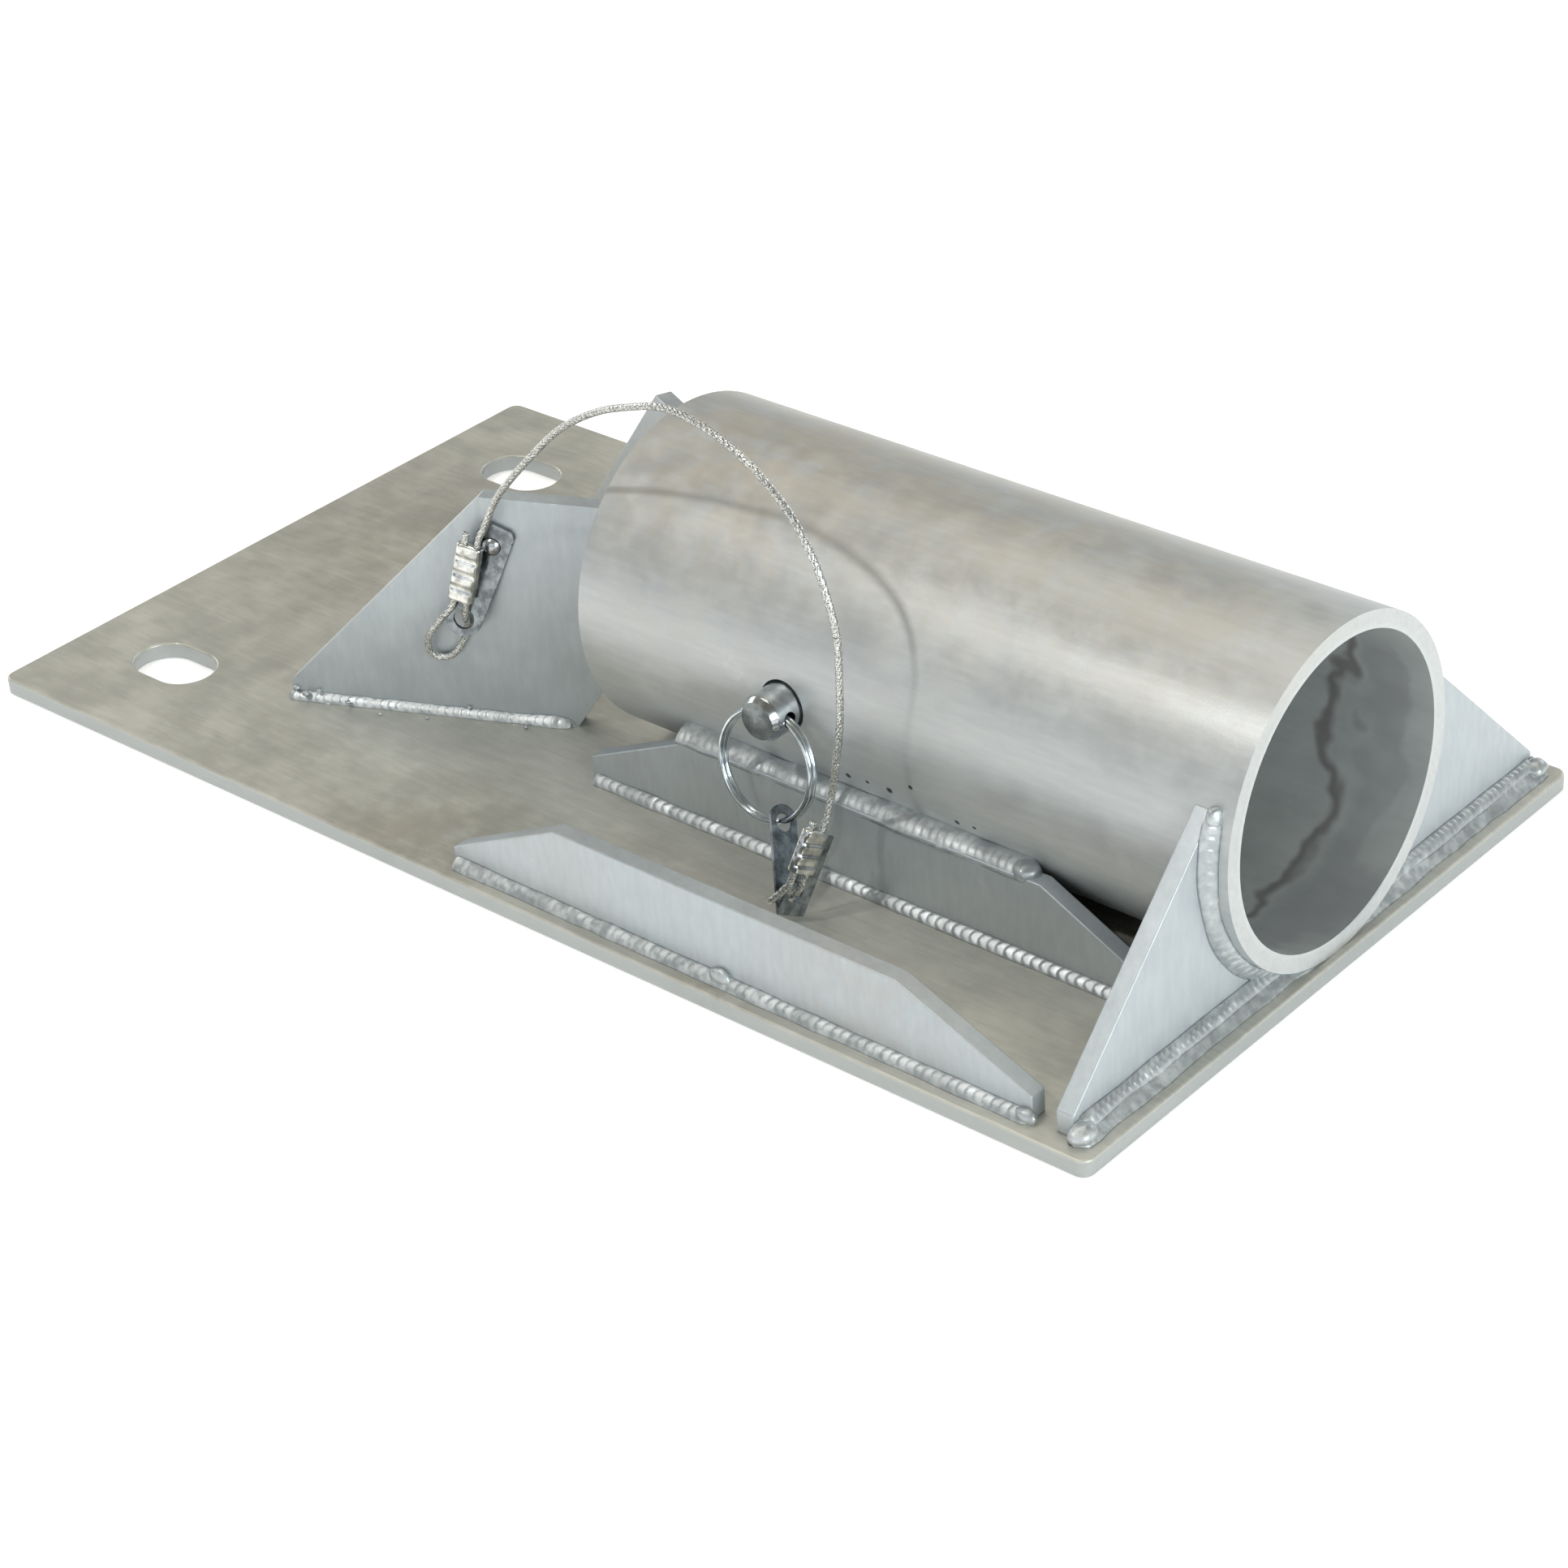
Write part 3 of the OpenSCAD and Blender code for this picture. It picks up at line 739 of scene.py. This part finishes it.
def make_rope():
    """The lanyard, in stretches that each cross one joint at most."""
    g = BARREL_GAP
    stub, fixed_in = fixed_barrel_point(-g, 15), fixed_barrel_point(-g, 12)
    fixed_out, fixed_back = fixed_barrel_point(-g, -12), fixed_barrel_point(g, -12)
    fixed_top = fixed_barrel_point(g, 12)
    eye = smooth_path(
        [
            fixed_in, fixed_out, gusset_point(62, 47, 6.5),
            gusset_point(56, 38.5, 4.6), gusset_point(55.5, 31, 2.4),
            gusset_point(61.5, 30, 1.7), gusset_point(67, 36, 1.5),
            gusset_point(69.6, 43.2, 1.6), gusset_point(70.5, 47.4, 4.6),
            fixed_back, fixed_top,
        ],
        12,
    )
    fixed_eye = np.vstack([[stub, fixed_in], eye, [fixed_top]])
    top_in, top_out = barrel_point(g, 0, 8), barrel_point(g, 0, -8)
    run = smooth_path(
        [
            fixed_back, fixed_top, (-66, -52, 84), (-57, -52, 99),
            (-37, -54, 120), (-19, -57, 136), (0, -60, 148), (18, -63, 156),
            (34, -65, 161), (51, -68, 162), (66, -70, 159), (79, -72, 154),
            (90, -73, 146), (99, -74, 135), (105, -75, 123), (108, -75, 110),
            (108, -75, 95), (107, -75, 79), (103.5, -74, 64), (99.5, -72.2, 51),
            barrel_point(g, 0, 11.5), top_in, top_out,
        ],
        12,
    )
    low_in, low_out = barrel_point(-g, 0, -10.5), barrel_point(-g, 0, 8)
    eye = smooth_path(
        [
            top_in, barrel_point(g, 0, -10.5), tab_point(-1.8, -7.8, -24),
            tab_point(-1.3, -4.4, -24.2), tab_point(-1.2, 0, -23.8),
            tab_point(-3.2, 2.7, -24.2), tab_point(-6.4, 2.2, -25.2),
            tab_point(-7.9, -1, -26), tab_point(-7.6, -5, -25.2),
            tab_point(-7, -8.6, -23.6), low_in, low_out,
        ],
        12,
    )
    ring_eye = np.vstack([[top_in], eye, [low_out, barrel_point(-g, 0, 10)]])
    cuts = [0, 12 * 3, 12 * 14, 12 * 17, len(run) - 1]
    lower, arch, drop, tail = [
        run[cuts[i] : cuts[i + 1] + 1] for i in range(4)
    ]
    made = {}
    done = 0.0
    for name, path in (
        ("rope_fixed_eye", fixed_eye), ("rope_lower", lower),
        ("rope_arch", arch), ("rope_drop", drop), ("rope_tail", tail),
        ("rope_ring_eye", ring_eye),
    ):
        obj, followed = rope_piece(name, path, done)
        made[name] = (obj, followed)
        done += length_of(path)
    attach(made["rope_fixed_eye"][0], "fixed_end")
    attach(made["rope_ring_eye"][0], "ring_end")

    def blended(name):
        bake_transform(made[name][0])

    blended("rope_lower")
    blended("rope_arch")
    blended("rope_drop")
    blended("rope_tail")
    for name in made:
        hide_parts("lanyard_cable")
    declare(made, "rope_arch")
    declare(made, "rope_fixed_eye")
    declare(made, "rope_ring_eye")


def declare(made, name):
    """Works out a stretch's length in metres, and keeps nothing of it."""
    obj, followed = made[name]
    length_of(followed) * MM


def ferrule_outline(narrow, wide):
    """A double-barrel section: two round sides with a shallow waist."""
    outline = []
    for k in range(40):
        a = 2 * math.pi * k / 40
        x = BARREL_GAP * math.tanh(4 * math.cos(a)) + 2.4 * math.cos(a)
        waist = 1 - 0.13 * (1 - abs(math.cos(a))) ** 2
        y = 2.4 * math.copysign(abs(math.sin(a)) ** 0.9, math.sin(a)) * waist
        outline.append((x * wide, y * narrow))
    return outline


def make_ferrule(name, node, body, point, length):
    """A crimped sleeve; point places x, y and z of its own frame."""
    rings = []
    for z in np.linspace(-length / 2, length / 2, 61):
        end = min(length / 2 - abs(z), 0.7) / 0.7
        round_off = 0.86 + 0.14 * math.sqrt(1 - (1 - end) ** 2)
        dents = sum(
            math.exp(-(((z - c * length) / 1.25) ** 4)) for c in (-0.26, 0.0, 0.26)
        )
        rings.append(
            [
                point(x, y, z)
                for x, y in ferrule_outline(
                    (1 - 0.20 * dents) * round_off, (1 + 0.03 * dents) * round_off
                )
            ]
        )
    ends = [point(0, 0, -length / 2), point(0, 0, length / 2)]
    obj = sweep(name, ends, rings)
    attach(obj, body)
    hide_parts(node)
    coat(obj, FERRULE)
    return obj


# --------------------------------------------------------- floor and lights


def make_stage():
    bpy.ops.mesh.primitive_plane_add(size=14, location=(0, 0, -0.0004))
    floor = bpy.context.object
    floor.name = "floor"
    p = Paint("floor")
    p.finish((0.9, 0.9, 0.9, 1), 0.9, None, 0.0)
    p.shader.inputs["Specular IOR Level"].default_value = 0.0
    p.shader.inputs["Emission Color"].default_value = (1, 1, 1, 1)
    p.shader.inputs["Emission Strength"].default_value = 0.45
    floor.data.materials.append(p.material)

    world = bpy.data.worlds.new("studio")
    world.use_nodes = True
    scene.world = world
    nodes, links = world.node_tree.nodes, world.node_tree.links
    where = nodes.new("ShaderNodeTexCoord")
    split = nodes.new("ShaderNodeSeparateXYZ")
    ramp = nodes.new("ShaderNodeValToRGB")
    links.new(where.outputs["Generated"], split.inputs[0])
    links.new(split.outputs["Z"], ramp.inputs[0])
    links.new(ramp.outputs[0], nodes["Background"].inputs["Color"])
    ramp.color_ramp.elements[0].position = 0.0
    ramp.color_ramp.elements[0].color = (0.86, 0.93, 1.0, 1)
    ramp.color_ramp.elements[1].position = 0.85
    ramp.color_ramp.elements[1].color = (0.40, 0.37, 0.31, 1)
    middle = ramp.color_ramp.elements.new(0.35)
    middle.color = (0.62, 0.64, 0.62, 1)
    nodes["Background"].inputs["Strength"].default_value = 0.62


def light(name, place, target, power, size, colour, height=None):
    """A soft lamp, square unless a height is given, aimed at a point."""
    data = bpy.data.lights.new(name, "AREA")
    data.energy = power
    data.color = colour
    data.size = size
    if height is not None:
        data.shape = "RECTANGLE"
        data.size_y = height
    obj = bpy.data.objects.new(name, data)
    obj.location = place
    aim = Vector(target) - Vector(place)
    obj.rotation_euler = aim.to_track_quat("-Z", "Y").to_euler()
    scene.collection.objects.link(obj)


def make_lights():
    light("key", (-0.55, -1.36, 1.95), (0.03, 0, 0.05), 12, 0.10, (1, 0.98, 0.95))
    light("front", (2.2, -0.5, 0.8), (0.1, 0, 0.05), 28, 1.3, (0.94, 1.0, 0.99), 0.9)
    light("side", (0.9, -2.3, 0.9), (0, 0, 0.05), 5, 1.8, (0.86, 0.95, 1.0), 0.8)
    light("top", (-0.4, 0.5, 2.6), (0, 0, 0), 15, 1.6, (1.0, 0.96, 0.87))
    light("far", (0.2, 2.4, 1.1), (0, 0, 0.05), 12, 1.8, (0.92, 0.96, 1.0), 0.8)
    light("rear", (-2.4, 0.1, 1.0), (0, 0, 0.05), 12, 1.6, (1.0, 0.97, 0.92), 0.8)


# ------------------------------------------------------------------- build

make_camera()
make_stage()
make_lights()

PLATE = mill_aluminium(
    "mill_plate", grey(210, 209, 200), grey(190, 189, 181), (1.2, 9, 9),
    stains=(
        ((-40, -120, 6), 60, 0.35, grey(150, 138, 118)),
        ((-90, -30, 6), 70, 0.25, grey(150, 146, 138)),
        ((-190, 20, 6), 80, 0.22, grey(160, 150, 132)),
        ((30, -90, 6), 50, 0.20, grey(150, 146, 140)),
        ((95, -124, 8), 30, 0.5, grey(146, 132, 116)),
    ),
    sheared_edges=True,
)
BRACE = mill_aluminium(
    "mill_brace", grey(192, 199, 203), grey(178, 185, 190), (6, 6, 1.5),
    stains=(
        ((150, -122, 24), 55, 0.22, grey(176, 160, 150)),
        ((20, -122, 20), 45, 0.22, grey(176, 170, 160)),
    ),
)
TUBE = mill_aluminium(
    "mill_tube", grey(204, 207, 207), grey(190, 193, 194), (1.0, 8, 8),
    stains=(
        ((20, -10, 120), 90, 0.35, grey(196, 178, 148)),
        ((120, 10, 120), 100, 0.30, grey(200, 184, 156)),
        ((200, -20, 118), 60, 0.25, grey(190, 176, 152)),
        ((67, -57, 63), 16, 0.35, grey(150, 152, 152)),
    ),
    specks=(
        ((90, -53.8, 44.2), 1.3), ((107, -54.1, 45.0), 1.5),
        ((117, -55.7, 50.5), 1.1), ((133, -53.0, 42.3), 1.2),
        ((98, -54.0, 44.8), 0.9), ((140, -53.3, 43.0), 0.9),
    ),
    recolour=heat_tint_and_painted_bore_light,
)
WELD = weld_metal()
PIN = bright_steel("pin_steel", grey(208, 212, 216), grey(176, 182, 186), 0.20)
RING = bright_steel("ring_steel", grey(222, 228, 232), grey(190, 198, 204), 0.13)
TAB = bright_steel("tab_steel", grey(150, 156, 160), grey(104, 110, 114), 0.22)
FERRULE = bright_steel("ferrule_metal", grey(238, 238, 234), grey(176, 178, 178), 0.16)
RIVET = bright_steel("rivet_steel", grey(196, 198, 200), grey(150, 152, 156), 0.25)
ROPE = stranded_steel()

coat(soften("base_plate", 0.8), PLATE)
coat(soften("socket_tube", 0.55), TUBE)
coat(soften("stop_disc", 0.3), TUBE)
for word in ("near", "far"):
    for stem in ("front_gusset", "side_rib", "saddle_gusset", "rear_gusset"):
        coat(soften(f"{stem}_{word}", 0.5), BRACE)
lay_straight_welds()
lay_front_tube_welds()
lay_lumps()

coat(soften("detent_pin", 0.35), PIN)
coat(NODES["detent_ball"], PIN)
coat(soften("ring_tab", 0.22), TAB)
coat(soften("fixed_tab", 0.25), TAB)
coat(soften("rivet", 0.25), RIVET)
FERRULES = [
    make_ferrule(
        "ring_sleeve", "ring_ferrule", "ring_end", barrel_point, RING_SLEEVE_LENGTH,
    ),
    make_ferrule(
        "fixed_sleeve", "fixed_ferrule", "fixed_end",
        lambda x, y, z: fixed_barrel_point(x, z, y), FIXED_SLEEVE_LENGTH,
    ),
]
make_split_ring()
make_rope()

scene.view_settings.view_transform = "Standard"
